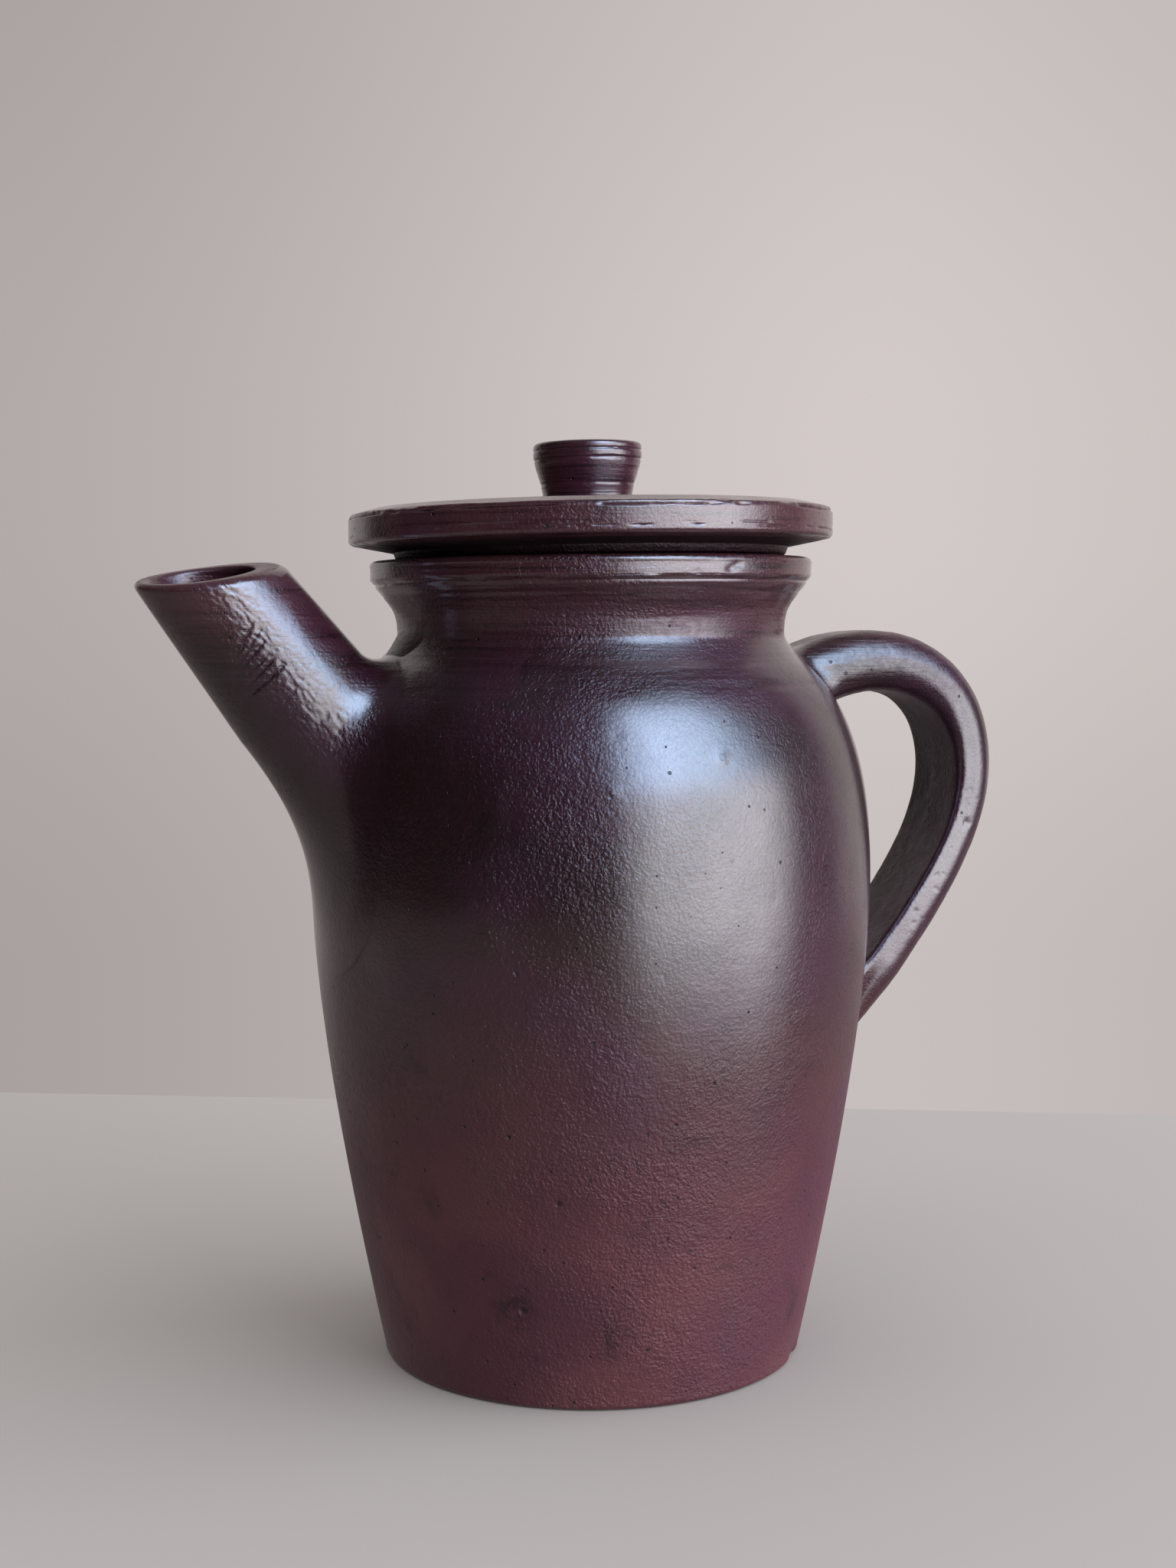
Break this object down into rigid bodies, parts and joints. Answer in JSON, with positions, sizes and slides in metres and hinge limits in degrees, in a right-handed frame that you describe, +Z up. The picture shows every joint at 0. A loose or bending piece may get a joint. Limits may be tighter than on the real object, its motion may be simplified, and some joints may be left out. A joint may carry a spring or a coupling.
{
  "type": "ceramic coffee pot",
  "caption": "Hand-thrown burnished ceramic coffee pot with a leaning spout, a pulled strap handle and a loose disc lid with a waisted knob.",
  "frame": {"origin": "centre of the flat foot, on the surface the pot stands on", "axes": "+Z up along the jar's turning axis, spout towards -X, handle towards +X, so XZ is the plane of symmetry"},
  "size_m": [0.2227, 0.1384, 0.2253],
  "materials": {
    "jar_clay": "burnished satin",
    "spout_clay": "burnished satin",
    "handle_clay": "burnished satin",
    "lid_clay": "burnished satin",
    "knob_clay": "burnished satin"
  },
  "bodies": {
    "pot": {"pot_body": "jar_clay", "spout": "spout_clay", "handle": "handle_clay"},
    "lid": {"lid": "lid_clay", "lid_knob": "knob_clay"}
  },
  "joints": [
    {"name": "lid_lift", "type": "slide", "parent": "pot", "child": "lid", "axis": [0, 0, 1], "range_m": [0, 0.06]}
  ]
}
